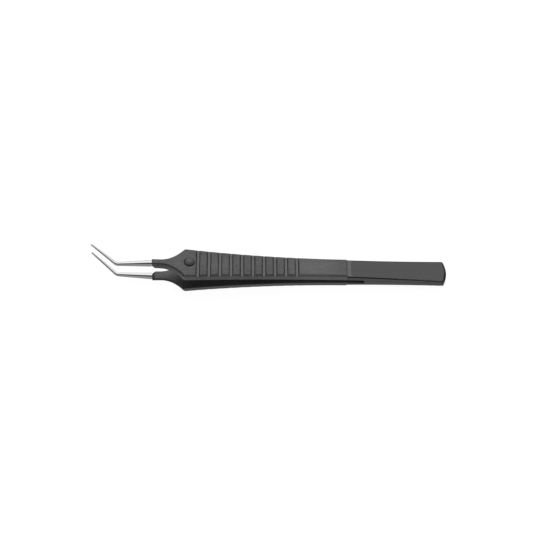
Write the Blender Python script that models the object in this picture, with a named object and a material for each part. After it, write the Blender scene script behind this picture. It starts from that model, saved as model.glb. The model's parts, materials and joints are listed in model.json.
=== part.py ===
"""Fine-point tweezers: two angled steel tips set in a moulded plastic handle with ribbed grip pads.

The handle lies along X with its tips towards -X, and it is squeezed along Z. A station is a distance
from the handle's rear end, along the handle. Every piece is drawn about the handle's own centre plane,
and then the whole object is laid on Z = 0 the way it rests on a table, with its box centred on X and Y.
"""

import math

import bmesh
import bpy
from mathutils import Matrix, Vector

MM = 0.001

# Stations along the handle
LENGTH = 105.0 * MM
REAR_CORNER = 0.95 * MM  # where the round rear end meets the sides
PEG_STATIONS = (7.0 * MM, 18.0 * MM)
FLEX_ROOT = 24.8 * MM  # end of the slot between the arms, where they bend
PAD_END = 29.4 * MM
WAIST = 30.0 * MM  # narrowest place of the handle
FIRST_GROOVE = 44.2 * MM
GROOVE_PITCH = 3.23 * MM
GROOVE_COUNT = 10
PIN_STATION = 75.8 * MM
SHOULDER = 77.2 * MM
FLARE_FRONT = 84.4 * MM
NOSE_FRONT = 86.8 * MM
BEND = 97.2 * MM

# Side view: the arms start parallel at the slot's end and bow away from each other
SLOT_HALF = 0.55 * MM
ARM_SPLAY = 0.0055  # slope of each arm at the slot's end
ARM_BOW_RADIUS = 1125.0 * MM
NOSE_INNER_SLOPE = 0.048  # the nose in front of the shoulder is straight and grows thinner
NOSE_OUTER_SLOPE = 0.031
REAR_HALF_HEIGHT = 1.09 * MM
BASE_THICKNESS = 1.42 * MM
PAD_HEIGHT = 0.58 * MM
GROOVE_WIDTH = 1.30 * MM
GROOVE_FLOOR = 0.80 * MM
PAD_END_RUN = 0.15 * MM
NOSE_END_LENGTH = 0.90 * MM  # the nose's front, where its inner corners are cut away
NOSE_END_DROP = 0.30 * MM

# Plan view: half widths at the foot of the pads, and how the other levels differ from it
WAIST_HALF = 3.22 * MM
REAR_FLARE = 0.60 * MM
SHOULDER_FLARE = 1.91 * MM
FLARE_POWER = 2.1
PAD_INSET = 0.42 * MM
BASE_DRAFT = 0.10 * MM
NOSE_INNER_HALF = 1.30 * MM
NOSE_FOOT_HALF = 0.84 * MM
NOSE_END_INNER_HALF = 0.75 * MM
NOSE_TOP_HALF = 0.68 * MM

# Steel tips: tapered bars with rounded edges, a little taller than wide
TIP_AXIS_HALF = 3.12 * MM  # height of a tip's axis above the centre plane at the nose's front
TIP_CONVERGENCE = 0.055  # how fast that height falls along the tip
TIP_BEND_ANGLE = math.radians(44.0)
TIP_BEND_RADIUS = 1.6 * MM
TIP_HALF_AT_NOSE = 0.775 * MM
TIP_HALF_AT_BEND = 0.45 * MM
TIP_HALF_AT_END = 0.18 * MM
TIP_TALLNESS = 1.18  # height of the section over its width
TIP_EDGE_ROUNDING = 0.22  # radius of an edge over the bar's half width
TANG_LENGTH = 4.5 * MM
TANG_HALF = 0.35 * MM
TANG_RISE = 0.35 * MM  # the tang is set off outwards, to the middle of the nose
TANG_ROUNDING = 0.8

# Guide pin, pressed through the upper arm
PIN_RADIUS = 0.75 * MM
PIN_REACH = 2.4 * MM  # how far it stands out of the upper arm's inner face
PIN_HEAD_RADIUS = 1.55 * MM
PIN_HEAD_RIM = 0.20 * MM
PIN_HEAD_DOME = 0.70 * MM
PIN_TIP_CHAMFER = 0.2 * MM
COUNTERBORE_RADIUS = 1.75 * MM
COUNTERBORE_DEPTH = 0.35 * MM
GUIDE_HOLE_RADIUS = 1.0 * MM
GUIDE_HOLE_DEPTH = 1.3 * MM

# Pegs that locate the two rear halves on each other before they are welded
PEG_RADIUS = 0.6 * MM
PEG_HEIGHT = 0.7 * MM

FIT = 0.15 * MM  # clearance round pins, pegs and tangs
SEAM = 0.20 * MM  # gap between the two rear halves
ROOT_GAP = 0.30 * MM  # gap between an arm and its rear half, where the plastic bends

# How finely curves are drawn
ROUND_SEGMENTS = 32
REAR_ARC_STEPS = 12
REAR_SIDE_STEPS = 6
FIRST_LAND_STEPS = 4
FLARE_STEPS = 8
BEND_STEPS = 5
CORNER_STEPS = 2
DOME_STEPS = 5
OVERSHOOT = 1.0 * MM  # how far a cutter runs past the face that it opens


def x_at(station):
    return LENGTH / 2 - station


def half_gap(station):
    """Height of an arm's inner face above the centre plane: bowed as far as the shoulder, then straight."""
    reach = min(station, SHOULDER) - FLEX_ROOT
    bowed = SLOT_HALF + ARM_SPLAY * reach + reach**2 / (2 * ARM_BOW_RADIUS)
    return bowed + NOSE_INNER_SLOPE * max(0.0, station - SHOULDER)


def base_height(station):
    """Height of the handle's outer face above the centre plane, without the pads."""
    if station >= PAD_END:
        nose = NOSE_OUTER_SLOPE * max(0.0, station - SHOULDER)
        return half_gap(min(station, SHOULDER)) + BASE_THICKNESS + nose
    at_pad_end = half_gap(PAD_END) + BASE_THICKNESS
    return REAR_HALF_HEIGHT + (at_pad_end - REAR_HALF_HEIGHT) * station / PAD_END


def handle_half_width(station):
    """Half width at the foot of the pads: both sides are shallow arcs that meet at the waist."""
    if station < WAIST:
        return WAIST_HALF + REAR_FLARE * ((WAIST - station) / WAIST) ** 2
    return WAIST_HALF + SHOULDER_FLARE * ((station - WAIST) / (SHOULDER - WAIST)) ** 2


def half_width(station, offset, nose_half):
    """Half width of one level of the arm, which narrows from the shoulder to the nose in a hollow curve."""
    if station <= SHOULDER:
        return handle_half_width(station) + offset
    left = max(0.0, (FLARE_FRONT - station) / (FLARE_FRONT - SHOULDER))
    at_shoulder = handle_half_width(SHOULDER) + offset
    return nose_half + (at_shoulder - nose_half) * left**FLARE_POWER


def arm_ring(station, raised, end_inner=None):
    """The arm's cross-section: inner face, slanted base sides, and a pad that stands up by raised (0 to 1)."""
    inner = end_inner or half_width(station, BASE_DRAFT, NOSE_INNER_HALF)
    foot = half_width(station, 0.0, NOSE_FOOT_HALF)
    top = half_width(station, -PAD_INSET, NOSE_TOP_HALF)
    inner_z = half_gap(station) + (NOSE_END_DROP if end_inner else 0.0)
    foot_z = base_height(station)
    top_z = foot_z + PAD_HEIGHT * raised
    right = [(inner, inner_z), (foot, foot_z), (top, top_z)]
    left = [(-y, z) for y, z in reversed(right)]
    return [Vector((x_at(station), y, z)) for y, z in right + left]


def between(first, last, count):
    """Evenly spaced values after first, up to and with last."""
    return [first + (last - first) * i / count for i in range(1, count + 1)]


def arm_rings():
    rings = [arm_ring(FLEX_ROOT + ROOT_GAP / 2, 0.0), arm_ring(PAD_END, 0.0)]
    rings += [arm_ring(PAD_END + PAD_END_RUN, 1.0)]
    pad_start = PAD_END + PAD_END_RUN
    for index in range(GROOVE_COUNT):
        centre = FIRST_GROOVE + index * GROOVE_PITCH
        land_steps = FIRST_LAND_STEPS if index == 0 else 1
        rings += [arm_ring(s, 1.0) for s in between(pad_start, centre - GROOVE_WIDTH / 2, land_steps)]
        rings += [arm_ring(centre - GROOVE_FLOOR / 2, 0.0)]
        rings += [arm_ring(centre + GROOVE_FLOOR / 2, 0.0)]
        pad_start = centre + GROOVE_WIDTH / 2
        rings += [arm_ring(pad_start, 1.0)]
    rings += [arm_ring(SHOULDER, 1.0)]
    rings += [arm_ring(s, 1.0) for s in between(SHOULDER, FLARE_FRONT, FLARE_STEPS)]
    rings += [arm_ring(NOSE_FRONT - NOSE_END_LENGTH, 1.0)]
    rings += [arm_ring(NOSE_FRONT, 1.0, end_inner=NOSE_END_INNER_HALF)]
    return rings


def loft(rings):
    """A closed solid through rings of equally many points, capped at both ends."""
    shape = bmesh.new()
    loops = [[shape.verts.new(point) for point in ring] for ring in rings]
    count = len(rings[0])
    for near, far in zip(loops, loops[1:]):
        for i in range(count):
            j = (i + 1) % count
            shape.faces.new((near[i], near[j], far[j], far[i]))
    shape.faces.new(loops[0])
    shape.faces.new(loops[-1])
    bmesh.ops.recalc_face_normals(shape, faces=shape.faces)
    return shape


def lathe(profile):
    """A solid of revolution about Z, from (radius, height) points that start and end on the axis."""
    rings = []
    for radius, height in profile[1:-1]:
        angles = [2 * math.pi * i / ROUND_SEGMENTS for i in range(ROUND_SEGMENTS)]
        rings.append([Vector((radius * math.cos(a), radius * math.sin(a), height)) for a in angles])
    return loft(rings)


def rod(radius, low, high):
    return lathe([(0, low), (radius, low), (radius, high), (0, high)])


def flipped(shape):
    """The same solid on the other side of the centre plane."""
    bmesh.ops.transform(shape, matrix=Matrix.Scale(-1, 4, Vector((0, 0, 1))), verts=shape.verts)
    bmesh.ops.reverse_faces(shape, faces=shape.faces)
    return shape


def rear_outline(offset):
    """The rear half's outline seen from above, from its front right corner round the rear end."""
    front = FLEX_ROOT - ROOT_GAP / 2
    stations = [front] + between(front, REAR_CORNER, REAR_SIDE_STEPS)
    side = [Vector((x_at(s), handle_half_width(s) + offset, 0)) for s in stations]
    corner = side[-1]
    bulge = REAR_CORNER
    radius = (corner.y**2 + bulge**2) / (2 * bulge)
    half_angle = math.asin(corner.y / radius)
    arc = []
    for angle in between(half_angle, -half_angle, REAR_ARC_STEPS)[:-1]:
        arc.append(Vector((x_at(0) - radius + radius * math.cos(angle), radius * math.sin(angle), 0)))
    other_side = [Vector((p.x, -p.y, 0)) for p in reversed(side)]
    return side + arc + other_side


def rear_half():
    """One half of the block behind the slot, from the seam up to its sloping outer face."""
    lower = [Vector((p.x, p.y, SEAM / 2)) for p in rear_outline(BASE_DRAFT)]
    upper = [Vector((p.x, p.y, base_height(x_at(0) - p.x))) for p in rear_outline(0.0)]
    return loft([lower, upper])


def tip_section(half_size, rounding, tallness):
    """A square with rounded corners, stretched upwards, as (across, up) points."""
    radius = half_size * rounding
    corner = Vector((half_size - radius, half_size - radius))
    points = []
    for quarter in range(4):
        turn = Matrix.Rotation(quarter * math.pi / 2, 2)
        for step in range(CORNER_STEPS + 1):
            angle = step * math.pi / 2 / CORNER_STEPS
            point = turn @ (corner + radius * Vector((math.cos(angle), math.sin(angle))))
            points.append((point.x, point.y * tallness))
    return points


def tip_path():
    """The tip's axis in plan from the nose's front to its end: (x, y, heading) with heading 0 along -X."""
    corner = Vector((x_at(BEND), 0))
    tangent = TIP_BEND_RADIUS * math.tan(TIP_BEND_ANGLE / 2)
    reach = (LENGTH - BEND) / math.cos(TIP_BEND_ANGLE)
    path = [(x_at(NOSE_FRONT) - FIT, 0.0, 0.0), (corner.x + tangent, 0.0, 0.0)]
    for heading in between(0.0, TIP_BEND_ANGLE, BEND_STEPS):
        x = corner.x + tangent - TIP_BEND_RADIUS * math.sin(heading)
        y = TIP_BEND_RADIUS * (1 - math.cos(heading))
        path.append((x, y, heading))
    end_x = corner.x - reach * math.cos(TIP_BEND_ANGLE)
    end_y = reach * math.sin(TIP_BEND_ANGLE)
    path.append((end_x, end_y, TIP_BEND_ANGLE))
    return path


def tip_half_size(length, bend_length, full_length):
    if length < bend_length:
        return TIP_HALF_AT_NOSE + (TIP_HALF_AT_BEND - TIP_HALF_AT_NOSE) * length / bend_length
    beyond = (length - bend_length) / (full_length - bend_length)
    return TIP_HALF_AT_BEND + (TIP_HALF_AT_END - TIP_HALF_AT_BEND) * beyond


def tip_ring(x, y, heading, height, half_size, rounding, tallness):
    across = Vector((math.sin(heading), math.cos(heading), 0))
    up = Vector((0, 0, 1))
    centre = Vector((x, y, height))
    return [centre + across * a + up * b for a, b in tip_section(half_size, rounding, tallness)]


def steel_tip():
    """The upper tip: a round tang inside the nose, then the tapered bar with its bend."""
    path = tip_path()
    lengths = [0.0]
    for before, after in zip(path, path[1:]):
        lengths.append(lengths[-1] + math.hypot(after[0] - before[0], after[1] - before[1]))
    nose_x = path[0][0]
    bend_length = nose_x - x_at(BEND)
    tang = TIP_AXIS_HALF + TANG_RISE
    rings = [
        tip_ring(nose_x + TANG_LENGTH, 0, 0, tang, TANG_HALF, TANG_ROUNDING, 1.0),
        tip_ring(nose_x, 0, 0, tang, TANG_HALF, TANG_ROUNDING, 1.0),
    ]
    for (x, y, heading), length in zip(path, lengths):
        height = TIP_AXIS_HALF - TIP_CONVERGENCE * length
        half_size = tip_half_size(length, bend_length, lengths[-1])
        rings.append(tip_ring(x, y, heading, height, half_size, TIP_EDGE_ROUNDING, TIP_TALLNESS))
    return loft(rings)


def tang_bore():
    """Cutter for the hole in the nose that the tang sits in."""
    start = Vector((x_at(NOSE_FRONT) - OVERSHOOT, 0, TIP_AXIS_HALF + TANG_RISE))
    shape = rod(TANG_HALF + FIT, 0, OVERSHOOT + TANG_LENGTH + FIT)
    turn = Matrix.Rotation(math.pi / 2, 4, "Y")
    bmesh.ops.transform(shape, matrix=Matrix.Translation(start) @ turn, verts=shape.verts)
    return shape


def moved(shape, station, height=0.0):
    bmesh.ops.translate(shape, vec=Vector((x_at(station), 0, height)), verts=shape.verts)
    return shape


def pin_seat():
    """Height of the counterbore's floor in the upper arm."""
    return base_height(PIN_STATION) + PAD_HEIGHT - COUNTERBORE_DEPTH


def guide_pin():
    """The guide pin: domed head in the counterbore, shank through the upper arm, chamfered end."""
    end = half_gap(PIN_STATION) - PIN_REACH
    under_head = pin_seat() + FIT
    rim = under_head + PIN_HEAD_RIM
    profile = [
        (0, end),
        (PIN_RADIUS - PIN_TIP_CHAMFER, end),
        (PIN_RADIUS, end + PIN_TIP_CHAMFER),
        (PIN_RADIUS, under_head),
        (PIN_HEAD_RADIUS, under_head),
    ]
    ball = (PIN_HEAD_RADIUS**2 + PIN_HEAD_DOME**2) / (2 * PIN_HEAD_DOME)
    ball_centre = rim + PIN_HEAD_DOME - ball
    for i in range(DOME_STEPS):
        radius = PIN_HEAD_RADIUS * (1 - i / DOME_STEPS)
        profile.append((radius, ball_centre + math.sqrt(ball**2 - radius**2)))
    profile.append((0, rim + PIN_HEAD_DOME))
    return moved(lathe(profile), PIN_STATION)


def pin_hole():
    """Cutter for the pin's stepped hole in the upper arm."""
    low = half_gap(PIN_STATION) - OVERSHOOT
    seat = pin_seat()
    high = seat + COUNTERBORE_DEPTH + OVERSHOOT
    shank = PIN_RADIUS + FIT
    steps = [(0, low), (shank, low), (shank, seat), (COUNTERBORE_RADIUS, seat)]
    return moved(lathe(steps + [(COUNTERBORE_RADIUS, high), (0, high)]), PIN_STATION)


def guide_hole():
    """Cutter for the blind hole in the lower arm that the pin enters as the arms close."""
    mouth = -half_gap(PIN_STATION)
    return moved(rod(GUIDE_HOLE_RADIUS, mouth - GUIDE_HOLE_DEPTH, mouth + OVERSHOOT), PIN_STATION)


def make_material(name, colour, roughness, metallic=0.0):
    material = bpy.data.materials.new(name)
    material.use_nodes = True
    shader = material.node_tree.nodes["Principled BSDF"]
    shader.inputs["Base Color"].default_value = (*colour, 1.0)
    shader.inputs["Roughness"].default_value = roughness
    shader.inputs["Metallic"].default_value = metallic
    return material


def add_object(name, shape, hinge, material=None):
    """An object whose mesh is drawn in the handle's frame, and whose origin is on its hinge."""
    mesh = bpy.data.meshes.new(name)
    bmesh.ops.translate(shape, vec=-hinge.location, verts=shape.verts)
    shape.to_mesh(mesh)
    shape.free()
    mesh.shade_smooth()
    mesh.set_sharp_from_angle(angle=math.radians(30))
    if material:
        mesh.materials.append(material)
    piece = bpy.data.objects.new(name, mesh)
    bpy.context.scene.collection.objects.link(piece)
    piece.parent = hinge
    return piece


def apply_boolean(piece, operation, shape, hinge):
    """Cut a hidden shape from a piece, or join it on."""
    tool = add_object(f"{piece.name}_{operation.lower()}", shape, hinge)
    tool.hide_render = True
    tool.display_type = "WIRE"
    modifier = piece.modifiers.new(tool.name, "BOOLEAN")
    modifier.operation = operation
    modifier.object = tool


def add_empty(name, location, parent):
    empty = bpy.data.objects.new(name, None)
    bpy.context.scene.collection.objects.link(empty)
    empty.location = location
    empty.parent = parent
    return empty


def add_rear_block(frame):
    upper_material = make_material("rear_upper_half", (0.078, 0.078, 0.080), 0.55)
    lower_material = make_material("rear_lower_half", (0.070, 0.070, 0.072), 0.55)
    upper = add_object("rear_upper_half", rear_half(), frame, upper_material)
    lower = add_object("rear_lower_half", flipped(rear_half()), frame, lower_material)
    for station in PEG_STATIONS:
        hole_top = SEAM / 2 + PEG_HEIGHT
        hole = moved(rod(PEG_RADIUS + FIT, -SEAM, hole_top + FIT), station)
        apply_boolean(upper, "DIFFERENCE", hole, frame)
        peg = moved(rod(PEG_RADIUS, -SEAM / 2 - PEG_HEIGHT, SEAM / 2 + PEG_HEIGHT - FIT), station)
        apply_boolean(lower, "UNION", peg, frame)
    return [upper, lower]


def add_upper_arm(hinge):
    material = make_material("upper_arm", (0.095, 0.095, 0.097), 0.60)
    arm = add_object("upper_arm", loft(arm_rings()), hinge, material)
    apply_boolean(arm, "DIFFERENCE", tang_bore(), hinge)
    apply_boolean(arm, "DIFFERENCE", pin_hole(), hinge)
    steel = make_material("upper_tip", (0.72, 0.72, 0.73), 0.16, metallic=1.0)
    tip = add_object("upper_tip", steel_tip(), hinge, steel)
    pin_material = make_material("guide_pin", (0.060, 0.060, 0.062), 0.50)
    pin = add_object("guide_pin", guide_pin(), hinge, pin_material)
    return [arm, tip, pin]


def add_lower_arm(hinge):
    material = make_material("lower_arm", (0.085, 0.085, 0.087), 0.60)
    arm = add_object("lower_arm", flipped(loft(arm_rings())), hinge, material)
    apply_boolean(arm, "DIFFERENCE", flipped(tang_bore()), hinge)
    apply_boolean(arm, "DIFFERENCE", guide_hole(), hinge)
    steel = make_material("lower_tip", (0.70, 0.70, 0.71), 0.16, metallic=1.0)
    tip = add_object("lower_tip", flipped(steel_tip()), hinge, steel)
    return [arm, tip]


def lay_on_table(frame, pieces):
    """Tilt the handle until a nose and a pad both touch the table, then centre its box over the origin."""
    rise = base_height(NOSE_FRONT) - base_height(PAD_END)
    frame.rotation_euler = (0, math.atan2(rise, NOSE_FRONT - PAD_END), 0)
    bpy.context.view_layer.update()
    points = [piece.matrix_world @ corner.co for piece in pieces for corner in piece.data.vertices]
    low = Vector([min(point[axis] for point in points) for axis in range(3)])
    high = Vector([max(point[axis] for point in points) for axis in range(3)])
    frame.location = (-(low.x + high.x) / 2, -(low.y + high.y) / 2, -low.z)


def main():
    for thing in list(bpy.data.objects):
        bpy.data.objects.remove(thing)
    origin = Vector((0, 0, 0))
    root_height = (half_gap(FLEX_ROOT) + base_height(FLEX_ROOT)) / 2
    frame = add_empty("handle_frame", origin, None)
    upper_hinge = add_empty("upper_hinge", Vector((x_at(FLEX_ROOT), 0, root_height)), frame)
    lower_hinge = add_empty("lower_hinge", Vector((x_at(FLEX_ROOT), 0, -root_height)), frame)
    pieces = add_rear_block(frame) + add_upper_arm(upper_hinge) + add_lower_arm(lower_hinge)
    lay_on_table(frame, pieces)


main()
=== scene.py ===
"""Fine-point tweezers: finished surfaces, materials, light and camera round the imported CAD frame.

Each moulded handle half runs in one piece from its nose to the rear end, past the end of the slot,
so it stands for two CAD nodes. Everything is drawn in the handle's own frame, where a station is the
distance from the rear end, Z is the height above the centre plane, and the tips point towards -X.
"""

import json
import math

import bmesh
import bpy
from mathutils import Matrix, Vector


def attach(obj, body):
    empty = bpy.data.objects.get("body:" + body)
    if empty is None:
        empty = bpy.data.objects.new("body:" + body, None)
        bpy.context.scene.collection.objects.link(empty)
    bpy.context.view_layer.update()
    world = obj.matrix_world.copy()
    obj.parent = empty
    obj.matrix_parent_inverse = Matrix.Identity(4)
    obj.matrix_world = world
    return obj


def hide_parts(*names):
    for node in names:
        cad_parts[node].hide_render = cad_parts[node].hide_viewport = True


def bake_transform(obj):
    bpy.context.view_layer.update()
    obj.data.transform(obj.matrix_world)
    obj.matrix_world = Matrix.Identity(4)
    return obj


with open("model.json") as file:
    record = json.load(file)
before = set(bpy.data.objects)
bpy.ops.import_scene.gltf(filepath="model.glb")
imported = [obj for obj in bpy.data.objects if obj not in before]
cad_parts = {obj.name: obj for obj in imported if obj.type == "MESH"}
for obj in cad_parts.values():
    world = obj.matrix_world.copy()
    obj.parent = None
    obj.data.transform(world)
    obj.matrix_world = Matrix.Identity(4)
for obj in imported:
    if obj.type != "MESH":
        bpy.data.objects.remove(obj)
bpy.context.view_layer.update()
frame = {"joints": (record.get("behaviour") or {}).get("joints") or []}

MM = 0.001

# Stations along the handle, as in the CAD part
LENGTH = 105.0 * MM
REAR_CORNER = 0.95 * MM
FLEX_ROOT = 24.8 * MM
PAD_END = 29.4 * MM
WAIST = 30.0 * MM
FIRST_GROOVE = 44.2 * MM
GROOVE_PITCH = 3.23 * MM
GROOVE_COUNT = 10
PIN_STATION = 75.8 * MM
SHOULDER = 77.2 * MM
FLARE_FRONT = 84.4 * MM
NOSE_FRONT = 86.8 * MM
BEND = 97.2 * MM

# Side view
SLOT_HALF = 0.55 * MM
SLOT_END_REACH = 0.55 * MM
ARM_SPLAY = 0.0055
ARM_BOW_RADIUS = 1125.0 * MM
NOSE_INNER_SLOPE = 0.048
NOSE_OUTER_SLOPE = 0.031
REAR_HALF_HEIGHT = 1.09 * MM
BASE_THICKNESS = 1.42 * MM
PAD_HEIGHT = 0.58 * MM
GROOVE_WIDTH = 1.30 * MM
GROOVE_FLOOR = 0.80 * MM
PAD_END_RUN = 0.15 * MM
NOSE_END_LENGTH = 0.90 * MM
NOSE_END_DROP = 0.30 * MM

# Plan view
WAIST_HALF = 3.22 * MM
REAR_FLARE = 0.60 * MM
SHOULDER_FLARE = 1.91 * MM
FLARE_POWER = 2.1
PAD_INSET = 0.42 * MM
BASE_DRAFT = 0.10 * MM
NOSE_INNER_HALF = 1.30 * MM
NOSE_FOOT_HALF = 0.84 * MM
NOSE_END_INNER_HALF = 0.75 * MM
NOSE_TOP_HALF = 0.68 * MM

# Steel tips
TIP_AXIS_HALF = 3.12 * MM
TIP_CONVERGENCE = 0.055
TIP_BEND_ANGLE = math.radians(44.0)
TIP_BEND_RADIUS = 1.6 * MM
TIP_HALF_AT_NOSE = 0.775 * MM
TIP_HALF_AT_BEND = 0.45 * MM
TIP_HALF_AT_END = 0.18 * MM
TIP_TALLNESS = 1.18
TIP_EDGE_ROUNDING = 0.60
TIP_POINT_ROUNDING = 0.10 * MM
TIP_POINT_SHARE = 0.25  # size of the rounded point's flat end over the bar's size just behind it
TANG_LENGTH = 4.5 * MM
TANG_HALF = 0.35 * MM
TANG_RISE = 0.35 * MM

# Guide pin
PIN_RADIUS = 0.75 * MM
PIN_REACH = 2.4 * MM
PIN_HEAD_RADIUS = 1.55 * MM
PIN_HEAD_RIM = 0.20 * MM
PIN_HEAD_DOME = 0.70 * MM
PIN_HEAD_EDGE = 0.05 * MM
PIN_TIP_CHAMFER = 0.2 * MM
PIN_CAP_SHARE = 0.1  # radius of the flat cap that closes the shank's end over the shank's radius
DOME_REACH = 0.99  # how far the dome's rings go from its rim to the axis
PIN_UNDER_HEAD = 0.15 * MM
COUNTERBORE_RADIUS = 1.59 * MM
COUNTERBORE_DEPTH = 0.35 * MM
GUIDE_HOLE_RADIUS = 1.0 * MM
GUIDE_HOLE_DEPTH = 1.3 * MM
PIN_HOLE_LIP = 0.03 * MM
GUIDE_HOLE_LIP = 0.10 * MM
OVERSHOOT = 1.0 * MM  # how far a cutter runs past the face that it opens

# Softness of the moulded edges, which the CAD part leaves sharp
EDGE_TOP = 0.09 * MM
EDGE_FOOT = 0.07 * MM
EDGE_INNER = 0.07 * MM
EDGE_GROOVE = 0.09 * MM
EDGE_REAR_CORNER = 0.28 * MM / 3
EDGE_NOSE_END = 0.18 * MM
EDGE_SHOULDER = 0.45 * MM
MOST_OF_SIDE = 0.45  # largest share of a side that the rounding at one of its ends may take

# Bevel round the rear face, wider and deeper at the rear end
REAR_CHAMFER = 0.26 * MM
REAR_INSET = 0.24 * MM
REAR_END_INSET = 0.66 * MM
REAR_END_DROP = 0.40 * MM

# Clearances, and the least width of the rear end's first rings
SEAM_HALF = 0.01 * MM
HAIR = 0.02 * MM  # between pieces that touch, and also the tolerance of a face's place
NARROWEST_FOOT = 0.01 * MM
NARROWEST_TOP = 0.004 * MM

# Rings and steps of the meshes: closer together where the shape turns quickly
EDGE_STEPS = 4
TOP_STEPS = 8
REAR_ARC_STEPS = 32
SLOT_END_STEPS = 9
NOSE_EDGE_STEPS = 6
REAR_RINGS_END = 2.4 * MM
REAR_RING_STEP = 0.06 * MM
PLAIN_RING_STEP = 1.2 * MM
SHOULDER_RING_STEP = 0.09 * MM
FLARE_RING_STEP = 0.3 * MM
NOSE_END_RING_STEP = 0.04 * MM
CLOSEST_RINGS = 0.004 * MM
STATION_DIGITS = 9
MERGE_DISTANCE = 0.0005 * MM
TIP_RING_STEP = 0.8 * MM
BEND_STEPS = 16
POINT_STEPS = 12
POINT_ROUNDING_STEPS = 5
BAR_CORNER_STEPS = 6
ROUND_SEGMENTS = 64
DOME_STEPS = 16
TINY = 1e-9  # keeps a division safe

# Corners above these angles stay sharp in the shading
HALF_SHARP_DEGREES = 34
TIP_SHARP_DEGREES = 40
PIN_SHARP_DEGREES = 32

# Smooth panel behind the pads
PANEL_FRONT = 28.2 * MM
PANEL_CORNER = 1.3 * MM
PANEL_DEPTH = 0.07 * MM
PANEL_LIP = 0.30 * MM
PANEL_END_LIP = 0.72 * MM
PANEL_ARC_STEPS = 9
PANEL_SIDE_STEP = 1.0 * MM

# Which faces get which of a half's materials
# The groove slot holds a lighter copy of the plastic, a painted highlight; the edge and rim slots hold darker
# copies, painted shade.
TEXTURED, SMOOTH, GROOVE_HIGHLIGHT, SHADED_EDGE, SHADED_RIM = range(5)
REAR_END_REACH = 2.5 * MM  # stretch in which the panel ends short of the round rear end
NEAR_FLOOR = 0.1 * PAD_HEIGHT  # how near its level a face counts as a groove's floor
STEEP_FACE = 0.85  # upright share of the normal, below which a face counts as steep
PIN_STEEP_FACE = 0.80
LENGTHWISE_FACE = 0.5  # lengthwise share of the normal, above which a face looks along the handle

# Camera: a long lens in front of the object, looking down on it
CAMERA_ELEVATION = math.radians(53.0)
CAMERA_AZIMUTH = math.radians(-0.3)
CAMERA_DISTANCE = 0.52
FIELD_WIDTH = 157.2 * MM
CAMERA_RIGHT = 0.575 * MM
CAMERA_UP = 1.45 * MM
SENSOR_WIDTH = 36.0
CLIP_START = 0.01
CLIP_END = 20.0

# Plastic: a noise for the grain, one for broad flow marks, and lighter, smoother worn edges
GRAIN_SHARE = 0.65  # the grain's share in the tone, where the flow marks have the rest
FLOW_MARK_SCALE = 180.0
FLOW_MARK_STRETCH = (0.35, 1.0, 1.0)
TONE_LOW, TONE_HIGH = 0.32, 0.68
WORN_FROM, WORN_FULL = 0.52, 0.60  # pointiness of an edge where wear starts and where it is full
WORN_PATCH_SCALE = 420.0
WORN_PATCH_LOW, WORN_PATCH_HIGH = 0.45, 0.62
WORN_STRENGTH = 0.55
WORN_LIGHTENING = 1.5
WORN_SMOOTHING = 0.35
PLASTIC_IOR = 1.46
ROUGHNESS_SPREAD = 0.07

# Painted highlight, a lighter band over the plain stretch of the pads: its middle and reach along X
PAINTED_HIGHLIGHT_CENTRE = 14.2 * MM
PAINTED_HIGHLIGHT_HALF = 9.0 * MM
PAINTED_HIGHLIGHT_STRENGTH = 0.30
PAINTED_HIGHLIGHT_LIGHTENING = 1.25

# Steel: lines left by polishing, faint smudges, and painted shade that darkens the end of the tip between two
# places along X
POLISH_SCALE = 900.0
POLISH_STRETCH = (0.06, 1.0, 1.0)
POLISH_DEPTH = 0.002 * MM
SMUDGE_SCALE = 260.0
SMUDGE_LOW, SMUDGE_HIGH = 0.35, 0.70
LINE_SHARE = 0.6  # the polishing lines' share in the roughness, where the smudges have the rest
STEEL_SMOOTHEST, STEEL_ROUGHEST = 0.10, 0.18
PAINTED_SHADE_FROM = -45.0 * MM
PAINTED_SHADE_FULL = -52.0 * MM

WHITE = (1.0, 1.0, 1.0, 1.0)

# Light: a broad bright patch above and behind the object, fading to a dim surround
LIGHT_DIRECTION = (-0.05, 0.60, 0.80)
LIGHT_EDGE = 0.80  # cosine of the angle at which the patch has faded out
LIGHT_FULL = 0.95
LIGHT_DIM = 0.15
LIGHT_BRIGHT = 3.4

# Floor: an even glow, with a contact shadow under the handle
FLOOR_HALF_SIZE = 2.5
FLOOR_CELLS = 8
FLOOR_GREYS = ((0.05, 0.05, 0.05), (0.06, 0.06, 0.06))
FLOOR_GLOW = 0.97
CONTACT_GLOW = 0.10  # share of the glow that is left in the middle of the contact shadow
CONTACT_CENTRE = (13.0 * MM, 1.6 * MM, 0.0)
CONTACT_HALF_SIZE = (29.0 * MM, 3.7 * MM, 1.0)
CONTACT_FULL, CONTACT_END = 0.7, 1.1  # where the shadow starts to fade and ends, as shares of its half size


def x_at(station):
    """X in the handle's frame."""
    return LENGTH / 2 - station


def half_gap(station):
    """Height of an arm's inner face above the centre plane: bowed as far as the shoulder, then straight."""
    reach = min(station, SHOULDER) - FLEX_ROOT
    bowed = SLOT_HALF + ARM_SPLAY * reach + reach**2 / (2 * ARM_BOW_RADIUS)
    return bowed + NOSE_INNER_SLOPE * max(0.0, station - SHOULDER)


def nose_end_share(station):
    """0 behind the cut-away corners of the nose's front, rising to 1 at the front."""
    run = station - (NOSE_FRONT - NOSE_END_LENGTH)
    return (run + math.hypot(run, EDGE_INNER / 2)) / 2 / NOSE_END_LENGTH if station > FLARE_FRONT else 0.0


def inner_height(station):
    """Height of the inner face: the seam at the rear, the slot's round end, then the arm's inner face."""
    if station >= FLEX_ROOT:
        return half_gap(station) + NOSE_END_DROP * nose_end_share(station)
    behind = (FLEX_ROOT - station) / SLOT_END_REACH
    if behind >= 1.0:
        return SEAM_HALF
    return max(SEAM_HALF, SLOT_HALF * math.sqrt(1 - behind**2))


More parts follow.
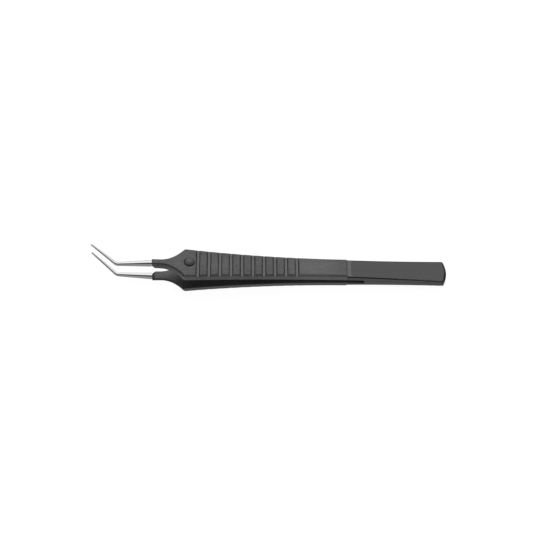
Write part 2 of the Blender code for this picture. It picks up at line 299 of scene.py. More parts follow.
def base_height(station):
    """Height of the outer face above the centre plane, without the pads."""
    if station >= PAD_END:
        nose = NOSE_OUTER_SLOPE * max(0.0, station - SHOULDER)
        return half_gap(min(station, SHOULDER)) + BASE_THICKNESS + nose
    at_pad_end = half_gap(PAD_END) + BASE_THICKNESS
    return REAR_HALF_HEIGHT + (at_pad_end - REAR_HALF_HEIGHT) * station / PAD_END


def handle_half_width(station):
    """Half width of the handle's sides, from the rear end to the shoulder."""
    if station < WAIST:
        return WAIST_HALF + REAR_FLARE * ((WAIST - station) / WAIST) ** 2
    return WAIST_HALF + SHOULDER_FLARE * ((station - WAIST) / (SHOULDER - WAIST)) ** 2


def rear_arc_radius():
    """Radius, in plan, of the round rear end."""
    corner = handle_half_width(REAR_CORNER)
    return (corner**2 + REAR_CORNER**2) / (2 * REAR_CORNER)


def half_width(station, offset, nose_half):
    """Half width of one level of the half, with its round rear end, its shoulder corner and its nose."""
    if station <= SHOULDER:
        width = handle_half_width(station) + offset
        radius = rear_arc_radius()
        if station < radius:
            end_radius = radius - (REAR_END_INSET if offset < 0 else 0.0)
            end = math.sqrt(max(0.0, end_radius**2 - (radius - station) ** 2))
            end += max(0.0, offset) * min(1.0, station / REAR_CORNER)
            gap = width - end
            width = (width + end - math.hypot(gap, EDGE_REAR_CORNER)) / 2
        return max(width, NARROWEST_FOOT)
    left = max(0.0, (FLARE_FRONT - station) / (FLARE_FRONT - SHOULDER))
    at_shoulder = handle_half_width(SHOULDER) + offset
    return nose_half + (at_shoulder - nose_half) * left**FLARE_POWER


def softened_width(station, offset, nose_half):
    """The half width with the shoulder's corner rounded over a short reach."""
    low, high = SHOULDER - EDGE_SHOULDER, SHOULDER + EDGE_SHOULDER
    if not low < station < high:
        return half_width(station, offset, nose_half)
    share = (station - low) / (high - low)
    before = half_width(low, offset, nose_half)
    corner = half_width(SHOULDER, offset, nose_half)
    after = half_width(high, offset, nose_half)
    return before * (1 - share) ** 2 + 2 * corner * share * (1 - share) + after * share**2


def shares(steps):
    """Evenly spaced numbers from 0 to 1."""
    return [i / steps for i in range(steps + 1)]


def quarter_turn(steps):
    """Evenly spaced angles from 0 to a right angle."""
    return [math.pi / 2 * share for share in shares(steps)]


def spaced(low, high, step):
    """Evenly spaced numbers from low to high, at most a step apart."""
    return [low + (high - low) * share for share in shares(max(1, math.ceil((high - low) / step)))]


def softened(points, reaches, closed):
    """The line through points with each corner replaced by a short curve that starts and ends reach away."""
    count = len(points)
    result = []
    for i, corner in enumerate(points):
        if not closed and i in (0, count - 1):
            result.append(corner)
            continue
        before = points[i - 1] - corner
        after = points[(i + 1) % count] - corner
        start = corner + before * min(MOST_OF_SIDE, reaches[i] / max(before.length, TINY))
        end = corner + after * min(MOST_OF_SIDE, reaches[i] / max(after.length, TINY))
        for t in shares(EDGE_STEPS):
            result.append(start * (1 - t) ** 2 + corner * (2 * t * (1 - t)) + end * t**2)
    return result


def pad_profile():
    """(station, pad height) along the half: none at the rear, then the pads between the grooves."""
    corners = [Vector((0, 0)), Vector((PAD_END, 0)), Vector((PAD_END + PAD_END_RUN, PAD_HEIGHT))]
    for index in range(GROOVE_COUNT):
        centre = FIRST_GROOVE + index * GROOVE_PITCH
        corners.append(Vector((centre - GROOVE_WIDTH / 2, PAD_HEIGHT)))
        corners.append(Vector((centre - GROOVE_FLOOR / 2, 0)))
        corners.append(Vector((centre + GROOVE_FLOOR / 2, 0)))
        corners.append(Vector((centre + GROOVE_WIDTH / 2, PAD_HEIGHT)))
    corners.append(Vector((NOSE_FRONT, PAD_HEIGHT)))
    return softened(corners, [EDGE_GROOVE] * len(corners), closed=False)


def profile_stations():
    """Every station that gets a ring, with its pad height."""
    profile = pad_profile()
    end_start = NOSE_FRONT - NOSE_END_LENGTH
    radius = rear_arc_radius()
    widest = math.asin(handle_half_width(REAR_CORNER) / radius)
    every = (
        [point.x for point in profile]
        + [radius * (1 - math.cos(widest * share)) for share in shares(REAR_ARC_STEPS)[1:]]
        + spaced(REAR_CORNER, REAR_RINGS_END, REAR_RING_STEP)
        + spaced(REAR_RINGS_END, FLEX_ROOT - 2 * SLOT_END_REACH, PLAIN_RING_STEP)
        + [FLEX_ROOT - SLOT_END_REACH * math.cos(angle) for angle in quarter_turn(SLOT_END_STEPS)]
        + spaced(FLEX_ROOT, FIRST_GROOVE - GROOVE_WIDTH, PLAIN_RING_STEP)
        + spaced(SHOULDER - EDGE_SHOULDER, SHOULDER + EDGE_SHOULDER, SHOULDER_RING_STEP)
        + spaced(SHOULDER, FLARE_FRONT, FLARE_RING_STEP)
        + spaced(end_start - EDGE_INNER, end_start + EDGE_INNER, NOSE_END_RING_STEP)
        + [NOSE_FRONT - EDGE_NOSE_END * (1 - math.sin(angle)) for angle in quarter_turn(NOSE_EDGE_STEPS)]
    )
    result = []
    index = 0
    for station in sorted({round(station, STATION_DIGITS) for station in every}):
        if station <= 0 or (result and station - result[-1][0] < CLOSEST_RINGS):
            continue
        while index < len(profile) - 2 and profile[index + 1].x < station:
            index += 1
        start, end = profile[index], profile[index + 1]
        share = min(1.0, max(0.0, (station - start.x) / max(end.x - start.x, TINY)))
        result.append((station, start.y + (end.y - start.y) * share))
    return result


def half_ring(station, pad):
    """The upper half's cross-section at a station, from its right inner edge over the top to the left one."""
    behind_pads = max(0.0, min(1.0, (PAD_END + PAD_END_RUN - station) / PAD_END_RUN))
    inner = softened_width(station, BASE_DRAFT, NOSE_INNER_HALF)
    inner += (NOSE_END_INNER_HALF - NOSE_INNER_HALF) * nose_end_share(station)
    foot = softened_width(station, 0.0, NOSE_FOOT_HALF)
    inset = PAD_INSET + (REAR_INSET - PAD_INSET) * behind_pads
    top = max(softened_width(station, -inset, NOSE_TOP_HALF), NARROWEST_TOP)
    face = base_height(station)
    at_end = max(0.0, 1.0 - station / REAR_CORNER)
    foot_z = face - REAR_CHAMFER * behind_pads - REAR_END_DROP * at_end
    top_z = foot_z + (face + pad - foot_z) * min(1.0, station / REAR_END_INSET)
    right = [(inner, inner_height(station)), (foot, foot_z), (top, top_z)]
    corners = [Vector(p) for p in right] + [Vector((-y, z)) for y, z in reversed(right)]
    reaches = [EDGE_INNER, EDGE_FOOT, EDGE_TOP, EDGE_TOP, EDGE_FOOT, EDGE_INNER]
    ring = softened(corners, reaches, closed=True)
    middle = len(ring) // 2
    right_top, left_top = ring[middle - 1], ring[middle]
    across_top = [right_top.lerp(left_top, share) for share in shares(TOP_STEPS)[1:-1]]
    ring = ring[:middle] + across_top + ring[middle:]
    if station > NOSE_FRONT - EDGE_NOSE_END:
        ring = rounded_nose_end(ring, station, foot, inner_height(station), face + pad)
    return [Vector((x_at(station), p.x, p.y)) for p in ring]


def rounded_nose_end(ring, station, half_wide, low, high):
    """The ring drawn in towards its middle, so that the nose's front has a round edge."""
    into_end = station - (NOSE_FRONT - EDGE_NOSE_END)
    inset = EDGE_NOSE_END - math.sqrt(max(0.0, EDGE_NOSE_END**2 - into_end**2))
    middle = (low + high) / 2
    across_scale = 1 - inset / half_wide
    up_scale = 1 - inset / ((high - low) / 2)
    return [Vector((p.x * across_scale, middle + (p.y - middle) * up_scale)) for p in ring]


def loft(rings):
    """A closed solid through rings of equally many points, capped at both ends."""
    shape = bmesh.new()
    loops = [[shape.verts.new(point) for point in ring] for ring in rings]
    count = len(rings[0])
    for near, far in zip(loops, loops[1:]):
        for i in range(count):
            j = (i + 1) % count
            shape.faces.new((near[i], near[j], far[j], far[i]))
    shape.faces.new(loops[0])
    shape.faces.new(loops[-1])
    bmesh.ops.remove_doubles(shape, verts=shape.verts, dist=MERGE_DISTANCE)
    bmesh.ops.recalc_face_normals(shape, faces=shape.faces)
    return shape


def lathe(profile, station):
    """A solid of revolution about a vertical axis at a station, from (radius, height) points."""
    centre = x_at(station)
    angles = [2 * math.pi * i / ROUND_SEGMENTS for i in range(ROUND_SEGMENTS)]
    return loft(
        [
            [Vector((centre + radius * math.cos(a), radius * math.sin(a), height)) for a in angles]
            for radius, height in profile
        ]
    )


def flipped(shape):
    """The same solid on the other side of the centre plane."""
    bmesh.ops.transform(shape, matrix=Matrix.Scale(-1, 4, Vector((0, 0, 1))), verts=shape.verts)
    bmesh.ops.reverse_faces(shape, faces=shape.faces)
    return shape


def handle_matrix(joints):
    """The handle's frame, found from its two hinges: they lie above and below its centre plane."""
    upper, lower = (Vector(joint["pos_m"]) for joint in joints)
    up = (upper - lower).normalized()
    across = Vector((0, 1, 0))
    along = across.cross(up).normalized()
    origin = (upper + lower) / 2 - along * x_at(FLEX_ROOT)
    return Matrix.Translation(origin) @ Matrix((along, across, up)).transposed().to_4x4()


def new_object(name, shape):
    mesh = bpy.data.meshes.new(name)
    shape.to_mesh(mesh)
    shape.free()
    mesh.shade_smooth()
    thing = bpy.data.objects.new(name, mesh)
    bpy.context.scene.collection.objects.link(thing)
    return thing


def cut(thing, shapes):
    """Cut shapes from the object's mesh for good."""
    tools = []
    for index, shape in enumerate(shapes):
        tool = new_object(f"{thing.name}_cutter_{index}", shape)
        modifier = thing.modifiers.new(tool.name, "BOOLEAN")
        modifier.operation = "DIFFERENCE"
        modifier.solver = "EXACT"
        modifier.object = tool
        tools.append(tool)
    bake_modifiers(thing)
    for tool in tools:
        bpy.data.objects.remove(tool)


def bake_modifiers(thing):
    graph = bpy.context.evaluated_depsgraph_get()
    mesh = bpy.data.meshes.new_from_object(thing.evaluated_get(graph))
    thing.modifiers.clear()
    thing.data = mesh


def finish_surface(thing, sharp_degrees):
    """Smooth shading that keeps broad faces flat and breaks at real corners."""
    thing.data.shade_smooth()
    thing.data.set_sharp_from_angle(angle=math.radians(sharp_degrees))
    modifier = thing.modifiers.new("normals", "WEIGHTED_NORMAL")
    modifier.keep_sharp = True
    bake_modifiers(thing)


def panel_cutter():
    """Cutter for the shallow smooth panel on the rear face: it follows the sides and the round rear end."""
    arc_centre = rear_arc_radius()
    arc_radius = arc_centre - PANEL_END_LIP
    widest = math.asin((handle_half_width(REAR_CORNER) - PANEL_LIP) / arc_radius)
    corner_station = arc_centre - arc_radius * math.cos(widest)
    side_end = PANEL_FRONT - PANEL_CORNER
    front_half = handle_half_width(side_end) - PANEL_LIP
    outline = []
    for share in shares(PANEL_ARC_STEPS):
        angle = widest * share
        outline.append((arc_centre - arc_radius * math.cos(angle), arc_radius * math.sin(angle)))
    for station in spaced(corner_station, side_end, PANEL_SIDE_STEP)[1:]:
        outline.append((station, handle_half_width(station) - PANEL_LIP))
    for angle in quarter_turn(PANEL_ARC_STEPS)[1:]:
        across = front_half - PANEL_CORNER * (1 - math.cos(angle))
        outline.append((side_end + PANEL_CORNER * math.sin(angle), across))
    loop = outline + [(station, -y) for station, y in reversed(outline[1:])]
    floor = [Vector((x_at(s), y, base_height(s) - PANEL_DEPTH)) for s, y in loop]
    above = [Vector((x_at(s), y, base_height(s) + PANEL_DEPTH)) for s, y in loop]
    return loft([floor, above])


def pin_seat():
    """Height of the counterbore's floor under the pin's head."""
    return base_height(PIN_STATION) + PAD_HEIGHT - COUNTERBORE_DEPTH


def pin_hole():
    """Cutter for the hole through the upper half, with a counterbore for the head and a soft lip."""
    low = half_gap(PIN_STATION) - OVERSHOOT
    seat = pin_seat()
    surface = seat + COUNTERBORE_DEPTH
    shank = PIN_RADIUS + HAIR
    mouth = COUNTERBORE_RADIUS + PIN_HOLE_LIP * 2
    return lathe(
        [
            (shank, low),
            (shank, seat),
            (COUNTERBORE_RADIUS, seat),
            (COUNTERBORE_RADIUS, surface - PIN_HOLE_LIP),
            (mouth, surface + PIN_HOLE_LIP),
            (mouth, surface + OVERSHOOT),
        ],
        PIN_STATION,
    )


def guide_hole():
    """Cutter for the blind hole in the lower half that the pin enters as the arms close."""
    surface = -half_gap(PIN_STATION)
    mouth = GUIDE_HOLE_RADIUS + GUIDE_HOLE_LIP * 2
    return lathe(
        [
            (GUIDE_HOLE_RADIUS, surface - GUIDE_HOLE_DEPTH),
            (GUIDE_HOLE_RADIUS, surface - GUIDE_HOLE_LIP),
            (mouth, surface + GUIDE_HOLE_LIP),
            (mouth, surface + OVERSHOOT),
        ],
        PIN_STATION,
    )


def tang_bore():
    """Cutter for the bore in the upper nose that holds the steel tip's tang."""
    length = TANG_LENGTH + OVERSHOOT
    start = Vector((x_at(NOSE_FRONT) - OVERSHOOT, 0, TIP_AXIS_HALF + TANG_RISE))
    shape = lathe([(TANG_HALF + HAIR, 0), (TANG_HALF + HAIR, length + HAIR)], LENGTH / 2)
    turn = Matrix.Rotation(math.pi / 2, 4, "Y")
    bmesh.ops.transform(shape, matrix=Matrix.Translation(start) @ turn, verts=shape.verts)
    return shape


def handle_half(name, upper):
    """One moulded half, from nose to rear end."""
    shape = loft([half_ring(station, pad) for station, pad in profile_stations()])
    cutters = [panel_cutter(), tang_bore()]
    if upper:
        half = new_object(name, shape)
        cut(half, cutters + [pin_hole()])
    else:
        half = new_object(name, flipped(shape))
        cut(half, [flipped(cutter) for cutter in cutters] + [guide_hole()])
    half.data.transform(HANDLE)
    finish_surface(half, HALF_SHARP_DEGREES)
    return half


def tip_path():
    """Points of the tip's axis in plan, each with its heading, which is 0 along -X."""
    corner = Vector((x_at(BEND), 0))
    tangent = TIP_BEND_RADIUS * math.tan(TIP_BEND_ANGLE / 2)
    reach = (LENGTH - BEND) / math.cos(TIP_BEND_ANGLE)
    start = x_at(NOSE_FRONT) - HAIR
    path = [(x, 0.0, 0.0) for x in spaced(start, corner.x + tangent, TIP_RING_STEP)]
    for share in shares(BEND_STEPS)[1:]:
        heading = TIP_BEND_ANGLE * share
        x = corner.x + tangent - TIP_BEND_RADIUS * math.sin(heading)
        path.append((x, TIP_BEND_RADIUS * (1 - math.cos(heading)), heading))
    last = Vector(path[-1][:2])
    end = Vector((corner.x - reach * math.cos(TIP_BEND_ANGLE), reach * math.sin(TIP_BEND_ANGLE)))
    for share in shares(POINT_STEPS)[1:]:
        point = last.lerp(end, share)
        path.append((point.x, point.y, TIP_BEND_ANGLE))
    return path


def bar_section(half_size, rounding, tallness):
    """A square with round corners, stretched upwards, as (across, up) points."""
    radius = half_size * rounding
    points = []
    for quarter in range(4):
        turn = Matrix.Rotation(quarter * math.pi / 2, 2)
        corner = Vector((half_size - radius, half_size - radius))
        for angle in quarter_turn(BAR_CORNER_STEPS):
            point = turn @ (corner + radius * Vector((math.cos(angle), math.sin(angle))))
            points.append(Vector((point.x, point.y * tallness)))
    return points


def bar_ring(x, y, heading, height, half_size, rounding, tallness):
    """The bar's section at a point of its axis, square to its heading."""
    across = Vector((math.sin(heading), math.cos(heading), 0))
    up = Vector((0, 0, 1))
    centre = Vector((x, y, height))
    return [centre + across * p.x + up * p.y for p in bar_section(half_size, rounding, tallness)]


def tip_half_size(length, full_length):
    """Half width of the bar at a length along it: it tapers to the bend, then more slowly to the point."""
    to_bend = BEND - NOSE_FRONT
    if length < to_bend:
        return TIP_HALF_AT_NOSE + (TIP_HALF_AT_BEND - TIP_HALF_AT_NOSE) * length / to_bend
    beyond = (length - to_bend) / (full_length - to_bend)
    return TIP_HALF_AT_BEND + (TIP_HALF_AT_END - TIP_HALF_AT_BEND) * beyond


def steel_tip(name, upper):
    """A round tang inside the nose, the tapered bar with its bend, and a rounded point."""
    path = tip_path()
    lengths = [0.0]
    for before, after in zip(path, path[1:]):
        lengths.append(lengths[-1] + math.dist(before[:2], after[:2]))
    tang_height = TIP_AXIS_HALF + TANG_RISE
    nose_x = path[0][0]
    rings = [bar_ring(x, 0, 0, tang_height, TANG_HALF, 1.0, 1.0) for x in (nose_x + TANG_LENGTH, nose_x)]
    for (x, y, heading), length in zip(path, lengths):
        half_size = tip_half_size(length, lengths[-1])
        height = TIP_AXIS_HALF - TIP_CONVERGENCE * length
        rings.append(bar_ring(x, y, heading, height, half_size, TIP_EDGE_ROUNDING, TIP_TALLNESS))
    tip_end = rings.pop()
    centre = sum(tip_end, Vector()) / len(tip_end)
    forward = Vector((-math.cos(TIP_BEND_ANGLE), math.sin(TIP_BEND_ANGLE), 0))
    for angle in quarter_turn(POINT_ROUNDING_STEPS):
        back = forward * (TIP_POINT_ROUNDING * (1 - math.sin(angle)))
        size = TIP_POINT_SHARE + (1 - TIP_POINT_SHARE) * math.cos(angle)
        rings.append([centre + (point - centre) * size - back for point in tip_end])
    shape = loft(rings)
    if not upper:
        shape = flipped(shape)
    tip = new_object(name, shape)
    tip.data.transform(HANDLE)
    finish_surface(tip, TIP_SHARP_DEGREES)
    return tip


def guide_pin(name):
    """The pin with its domed head, shank and chamfered end."""
    end = half_gap(PIN_STATION) - PIN_REACH
    under_head = pin_seat() + PIN_UNDER_HEAD
    rim = under_head + PIN_HEAD_RIM
    profile = [
        (PIN_RADIUS * PIN_CAP_SHARE, end),
        (PIN_RADIUS - PIN_TIP_CHAMFER, end),
        (PIN_RADIUS, end + PIN_TIP_CHAMFER),
        (PIN_RADIUS, under_head),
        (PIN_HEAD_RADIUS - PIN_HEAD_EDGE, under_head),
        (PIN_HEAD_RADIUS, under_head + PIN_HEAD_EDGE),
        (PIN_HEAD_RADIUS, rim),
    ]
    ball = (PIN_HEAD_RADIUS**2 + PIN_HEAD_DOME**2) / (2 * PIN_HEAD_DOME)
    for share in shares(DOME_STEPS)[1:]:
        radius = PIN_HEAD_RADIUS * (1 - share * DOME_REACH)
        profile.append((radius, rim + PIN_HEAD_DOME - ball + math.sqrt(ball**2 - radius**2)))
    pin = new_object(name, lathe(profile, PIN_STATION))
    pin.data.transform(HANDLE)
    finish_surface(pin, PIN_SHARP_DEGREES)
    return pin


# Materials


class Nodes:
    """A short way to write one material's node tree."""

    def __init__(self, name):
        self.material = bpy.data.materials.new(name)
        self.material.use_nodes = True
        self.tree = self.material.node_tree
        self.shader = self.tree.nodes["Principled BSDF"]
        self.place = self.add("ShaderNodeTexCoord").outputs["Object"]

    def add(self, kind, inputs=(), **settings):
        node = self.tree.nodes.new(kind)
        for key, value in settings.items():
            setattr(node, key, value)
        for key, value in dict(inputs).items():
            if isinstance(value, bpy.types.NodeSocket):
                self.tree.links.new(value, node.inputs[key])
            else:
                node.inputs[key].default_value = value
        return node

    def noise(self, scale, detail=3.0, roughness=0.55, stretch=(1, 1, 1)):
        mapping = self.add("ShaderNodeMapping", {"Vector": self.place, "Scale": stretch})
        return self.add(
            "ShaderNodeTexNoise",
            {"Vector": mapping.outputs[0], "Scale": scale, "Detail": detail, "Roughness": roughness},
        ).outputs["Fac"]

    def ramp(self, value, low, high, at_low, at_high):
        return self.add(
            "ShaderNodeMapRange",
            {"Value": value, "From Min": low, "From Max": high, "To Min": at_low, "To Max": at_high},
        ).outputs[0]

    def mix(self, factor, first, second):
        node = self.add("ShaderNodeMix", {0: factor}, data_type="RGBA")
        for key, value in ((6, first), (7, second)):
            if isinstance(value, bpy.types.NodeSocket):
                self.tree.links.new(value, node.inputs[key])
            else:
                node.inputs[key].default_value = (*value, 1.0)
        return node.outputs[2]

    def multiply(self, first, second):
        return self.add("ShaderNodeMath", {0: first, 1: second}, operation="MULTIPLY").outputs[0]

    def plus(self, first, second):
        return self.add("ShaderNodeMath", {0: first, 1: second}, operation="ADD").outputs[0]

    def bump(self, height, distance, strength=1.0):
        inputs = {"Height": height, "Distance": distance, "Strength": strength}
        return self.add("ShaderNodeBump", inputs).outputs[0]

    def edges(self, low, high):
        """1 on outer corners and edges, 0 on faces."""
        return self.ramp(self.add("ShaderNodeNewGeometry").outputs["Pointiness"], low, high, 0.0, 1.0)

    def set(self, **values):
        for key, value in values.items():
            socket = self.shader.inputs[key.replace("_", " ")]
            if isinstance(value, bpy.types.NodeSocket):
                self.tree.links.new(value, socket)
            else:
                socket.default_value = value


def cool_grey(value, tint=0.001):
    """A grey with a trace more blue in it."""
    return (value, value, value + tint)


def lighter(colour, times):
    """The colour made brighter by a factor."""
    return tuple(channel * times for channel in colour)


def moulded_plastic(name, dark, light, grain, grain_depth, roughness, specular=0.25, painted_highlight=False):
    """Grey moulded plastic: fine spark-eroded grain, faint flow marks, and edges polished by handling."""
    m = Nodes(name)
    fine = m.noise(grain, detail=4.0, roughness=0.6)
    broad = m.noise(FLOW_MARK_SCALE, roughness=0.5, stretch=FLOW_MARK_STRETCH)
    both = m.plus(m.multiply(fine, GRAIN_SHARE), m.multiply(broad, 1 - GRAIN_SHARE))
    colour = m.mix(m.ramp(both, TONE_LOW, TONE_HIGH, 0.0, 1.0), dark, light)
    worn = m.edges(WORN_FROM, WORN_FULL)
    blotches = m.noise(WORN_PATCH_SCALE, detail=2.0)
    patches = m.ramp(blotches, WORN_PATCH_LOW, WORN_PATCH_HIGH, 0.0, WORN_STRENGTH)
    colour = m.mix(m.multiply(worn, patches), colour, lighter(light, WORN_LIGHTENING))
    # Painted highlight: a lighter band along X over the plain stretch of the pads.
    if painted_highlight:
        along_handle = m.add("ShaderNodeSeparateXYZ", {0: m.place}).outputs["X"]
        away = m.add("ShaderNodeMath", {0: along_handle, 1: PAINTED_HIGHLIGHT_CENTRE}, operation="SUBTRACT").outputs[0]
        away = m.add("ShaderNodeMath", {0: away}, operation="ABSOLUTE").outputs[0]
        share = m.ramp(away, PAINTED_HIGHLIGHT_HALF / 3, PAINTED_HIGHLIGHT_HALF, PAINTED_HIGHLIGHT_STRENGTH, 0.0)
        colour = m.mix(share, colour, lighter(light, PAINTED_HIGHLIGHT_LIGHTENING))
    uneven = m.plus(fine, m.multiply(worn, -WORN_SMOOTHING))
    m.set(
        Base_Color=colour,
        IOR=PLASTIC_IOR,
        Specular_IOR_Level=specular,
        Roughness=m.ramp(uneven, 0.2, 0.8, roughness - ROUGHNESS_SPREAD, roughness + ROUGHNESS_SPREAD),
        Normal=m.bump(fine, grain_depth),
    )
    return m.material


def polished_steel(name):
    """Bright steel with faint lengthwise polishing lines, a few dull handling marks and painted shade that
    darkens the ends.
    """
    m = Nodes(name)
    lines = m.noise(POLISH_SCALE, detail=4.0, roughness=0.6, stretch=POLISH_STRETCH)
    smudge = m.noise(SMUDGE_SCALE)
    tone = m.ramp(smudge, SMUDGE_LOW, SMUDGE_HIGH, 0.0, 1.0)
    bright = m.mix(tone, cool_grey(0.23, 0.004), cool_grey(0.27, 0.005))
    along_bar = m.add("ShaderNodeSeparateXYZ", {0: m.place}).outputs["X"]
    # Painted shade: the steel darkens from one place along X to the next, towards the point.
    painted_shade_end = m.ramp(along_bar, PAINTED_SHADE_FROM, PAINTED_SHADE_FULL, 0.0, 1.0)
    uneven = m.plus(m.multiply(lines, LINE_SHARE), m.multiply(smudge, 1 - LINE_SHARE))
    m.set(
        Base_Color=m.mix(painted_shade_end, bright, cool_grey(0.12, 0.003)),
        Metallic=1.0,
        Roughness=m.ramp(uneven, 0.3, 0.7, STEEL_SMOOTHEST, STEEL_ROUGHEST),
        Normal=m.bump(lines, POLISH_DEPTH, 0.5),
    )
    return m.material


def studio_floor(name):
    """Pale paper that glows evenly, except in the contact shadow under the handle."""
    m = Nodes(name)
    place = m.add("ShaderNodeVectorMath", {0: m.place, 1: CONTACT_CENTRE}, operation="SUBTRACT").outputs[0]
    place = m.add("ShaderNodeVectorMath", {0: place, 1: CONTACT_HALF_SIZE}, operation="DIVIDE").outputs[0]
    reach = m.add("ShaderNodeVectorMath", {0: place}, operation="LENGTH").outputs["Value"]
    glow = m.ramp(reach, CONTACT_FULL, CONTACT_END, CONTACT_GLOW * FLOOR_GLOW, FLOOR_GLOW)
    m.set(
        Base_Color=m.mix(m.noise(scale=6.0, detail=2.0), *FLOOR_GREYS),
        Roughness=m.ramp(m.noise(scale=40.0, detail=2.0), 0.3, 0.7, 0.85, 0.95),
        Emission_Color=WHITE,
        Emission_Strength=glow,
    )
    return m.material


def rear_slot(station, depth, from_end, inside, steep, lower):
    """Material slot of a face behind the pads: the panel, the light land before it with a painted highlight,
    bevels with painted shade, and sides, with painted shade on the lower half's side at the slot's end.
    """
    if inside:
        if station > PANEL_FRONT:
            # The land before the panel takes the groove floors' lighter copy: painted highlight.
            return GROOVE_HIGHLIGHT if abs(depth) < PANEL_DEPTH / 2 and not steep else TEXTURED
        return SMOOTH if PANEL_DEPTH / 2 < depth < PANEL_DEPTH * 3 / 2 else TEXTURED
    if not steep:
        return SMOOTH
    at_end = max(0.0, 1.0 - station / REAR_CORNER)
    # Bevels take darker copies, darkest on the rear end and on the lower half: painted shade.
    if depth < REAR_CHAMFER + REAR_END_DROP * at_end + HAIR:
        return SHADED_RIM if lower or from_end < REAR_END_INSET + HAIR else SHADED_EDGE
    # Painted shade on the lower half's side where the slot ends.
    return SHADED_EDGE if lower and station > FLEX_ROOT - SLOT_END_REACH else SMOOTH


def arm_slot(station, depth, height, steep, lengthwise, lower):
    """Material slot of a face from the pads to the nose: groove floors with a painted highlight, and groove
    walls, the steeper slopes and the nose's end with painted shade.
    """
    past_groove = (station - FIRST_GROOVE + GROOVE_PITCH / 2) % GROOVE_PITCH - GROOVE_PITCH / 2
    # Groove floors take the lighter copy: painted highlight.
    if abs(depth) < NEAR_FLOOR and abs(past_groove) < GROOVE_FLOOR / 2 and not steep:
        return GROOVE_HIGHLIGHT
    on_pad = depth < HAIR
    at_nose_end = station > NOSE_FRONT - NOSE_END_LENGTH and height < half_gap(station) + NOSE_END_DROP
    # Groove walls and the nose's end take the darker copy: painted shade.
    if at_nose_end or (lengthwise and on_pad and station < SHOULDER):
        return SHADED_EDGE
    if not steep or station > NOSE_FRONT - EDGE_NOSE_END:
        return TEXTURED
    # Painted shade: the lower half's steep faces take the darker smooth copy, or the darkest past the
    # shoulder; the upper half's pad slopes past the shoulder take the darker edge copy.
    if lower:
        return SHADED_RIM if station > SHOULDER else SMOOTH
    return SHADED_EDGE if on_pad and station > SHOULDER else TEXTURED


def paint_half(half):
    """Give each face its material slot, from its place and direction in the handle's frame."""
    to_handle = HANDLE.inverted()
    turn = to_handle.to_3x3()
    arc_centre = rear_arc_radius()
    for face in half.data.polygons:
        centre = to_handle @ face.center
        normal = turn @ face.normal
        station = LENGTH / 2 - centre.x
        depth = base_height(station) - abs(centre.z)
        steep = abs(normal.z) < STEEP_FACE
        lower = centre.z < 0
        if station < PAD_END:
            from_end = arc_centre - math.hypot(arc_centre - station, centre.y)
            in_from_end = station > REAR_END_REACH or from_end > PANEL_END_LIP - HAIR
            inside = in_from_end and abs(centre.y) < handle_half_width(station) - PANEL_LIP
            face.material_index = rear_slot(station, depth, from_end, inside, steep, lower)
        else:
            lengthwise = abs(normal.x) > LENGTHWISE_FACE
            face.material_index = arm_slot(station, depth, abs(centre.z), steep, lengthwise, lower)


# Studio


def add_floor():
    shape = bmesh.new()
    bmesh.ops.create_grid(shape, x_segments=FLOOR_CELLS, y_segments=FLOOR_CELLS, size=FLOOR_HALF_SIZE)
    floor = new_object("studio_floor", shape)
    floor.data.materials.append(studio_floor("studio_floor"))


def add_camera():
    """A long lens at the height and side that show the top and the near edge."""
    level = math.cos(CAMERA_ELEVATION)
    back = Vector(
        (math.sin(CAMERA_AZIMUTH) * level, -math.cos(CAMERA_AZIMUTH) * level, math.sin(CAMERA_ELEVATION))
    )
    data = bpy.data.cameras.new("camera")
    camera = bpy.data.objects.new("camera", data)
    bpy.context.scene.collection.objects.link(camera)
    data.sensor_width = SENSOR_WIDTH
    data.lens = SENSOR_WIDTH * CAMERA_DISTANCE / FIELD_WIDTH
    data.clip_start = CLIP_START
    data.clip_end = CLIP_END
    rotation = (-back).to_track_quat("-Z", "Y")
    right = rotation @ Vector((1, 0, 0))
    up = rotation @ Vector((0, 1, 0))
    target = CAMERA_SUBJECT - right * CAMERA_RIGHT + up * CAMERA_UP
    camera.rotation_mode = "QUATERNION"
    camera.rotation_quaternion = rotation
    camera.location = target + back * CAMERA_DISTANCE
    bpy.context.scene.camera = camera


def add_world():
    """A soft dome of light: bright above and behind the object, dim towards the viewer's side."""
    world = bpy.data.worlds.new("studio")
    world.use_nodes = True
    tree = world.node_tree
    background = tree.nodes["Background"]
    direction = tree.nodes.new("ShaderNodeTexCoord").outputs["Generated"]
    facing = tree.nodes.new("ShaderNodeVectorMath")
    facing.operation = "DOT_PRODUCT"
    tree.links.new(direction, facing.inputs[0])
    facing.inputs[1].default_value = Vector(LIGHT_DIRECTION).normalized()
    glow = tree.nodes.new("ShaderNodeMapRange")
    glow.interpolation_type = "SMOOTHSTEP"
    glow.inputs["From Min"].default_value = LIGHT_EDGE
    glow.inputs["From Max"].default_value = LIGHT_FULL
    glow.inputs["To Min"].default_value = LIGHT_DIM
    glow.inputs["To Max"].default_value = LIGHT_BRIGHT
    tree.links.new(facing.outputs["Value"], glow.inputs["Value"])
    tree.links.new(glow.outputs[0], background.inputs["Strength"])
    background.inputs["Color"].default_value = WHITE
    bpy.context.scene.world = world
    bpy.context.scene.view_settings.view_transform = "Standard"


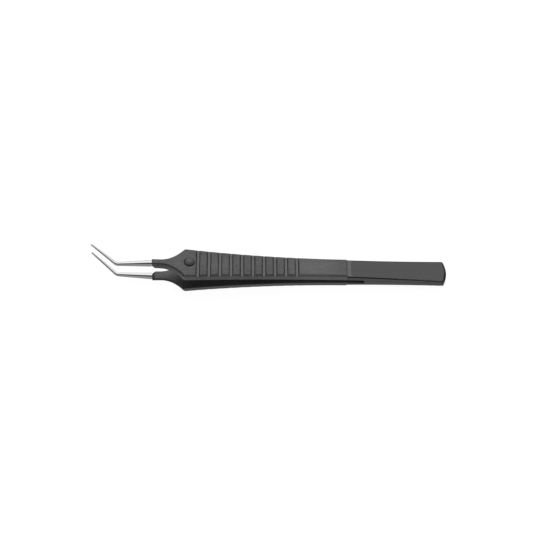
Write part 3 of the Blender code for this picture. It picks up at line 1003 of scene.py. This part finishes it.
HANDLE = handle_matrix(frame["joints"])
CAMERA_SUBJECT = HANDLE @ Vector((0, 0, 0))

textured = moulded_plastic(
    "textured_plastic",
    dark=cool_grey(0.064),
    light=cool_grey(0.161),
    grain=1900.0,
    grain_depth=0.006 * MM,
    roughness=0.62,
    painted_highlight=True,
)
smooth = moulded_plastic(
    "smooth_plastic",
    dark=cool_grey(0.068),
    light=cool_grey(0.084),
    grain=5200.0,
    grain_depth=0.0015 * MM,
    roughness=0.52,
)
# A lighter copy of the plastic for the groove floors and the land before the panel: painted highlight.
groove_highlight = moulded_plastic(
    "groove_highlight_plastic",
    dark=cool_grey(0.110),
    light=cool_grey(0.145),
    grain=5200.0,
    grain_depth=0.0015 * MM,
    roughness=0.48,
)
# A darker copy of the plastic for steep faces: painted shade.
edges = moulded_plastic(
    "shaded_edge_plastic",
    dark=cool_grey(0.034),
    light=cool_grey(0.050),
    grain=3600.0,
    grain_depth=0.002 * MM,
    roughness=0.50,
)
# A still darker copy with little reflection, for the rear end's bevel and the lower half's slopes: painted
# shade.
shaded_rims = moulded_plastic(
    "shaded_rim_plastic",
    dark=cool_grey(0.010),
    light=cool_grey(0.018),
    grain=3600.0,
    grain_depth=0.002 * MM,
    roughness=0.60,
    specular=0.06,
)
pin_plastic = moulded_plastic(
    "pin_plastic",
    dark=cool_grey(0.080),
    light=cool_grey(0.120),
    grain=3600.0,
    grain_depth=0.003 * MM,
    roughness=0.50,
)
steel = polished_steel("polished_steel")

upward = HANDLE.to_3x3() @ Vector((0, 0, 1))

for side in ("upper", "lower"):
    half = handle_half(f"{side}_handle_half", side == "upper")
    for material in (textured, smooth, groove_highlight, edges, shaded_rims):
        half.data.materials.append(material)
    paint_half(half)
    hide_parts(f"rear_{side}_half", f"{side}_arm")
    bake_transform(half)

    tip = steel_tip(f"{side}_steel_tip", side == "upper")
    tip.data.materials.append(steel)
    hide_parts(f"{side}_tip")
    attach(tip, f"{side}_jaw")

pin = guide_pin("guide_pin_finished")
for material in (pin_plastic, edges):
    pin.data.materials.append(material)
# Painted shade: the pin's steep faces take the darker edge copy.
for face in pin.data.polygons:
    face.material_index = 1 if abs(face.normal.dot(upward)) < PIN_STEEP_FACE else 0
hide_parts("guide_pin")
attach(pin, "upper_jaw")

add_floor()
add_world()
add_camera()
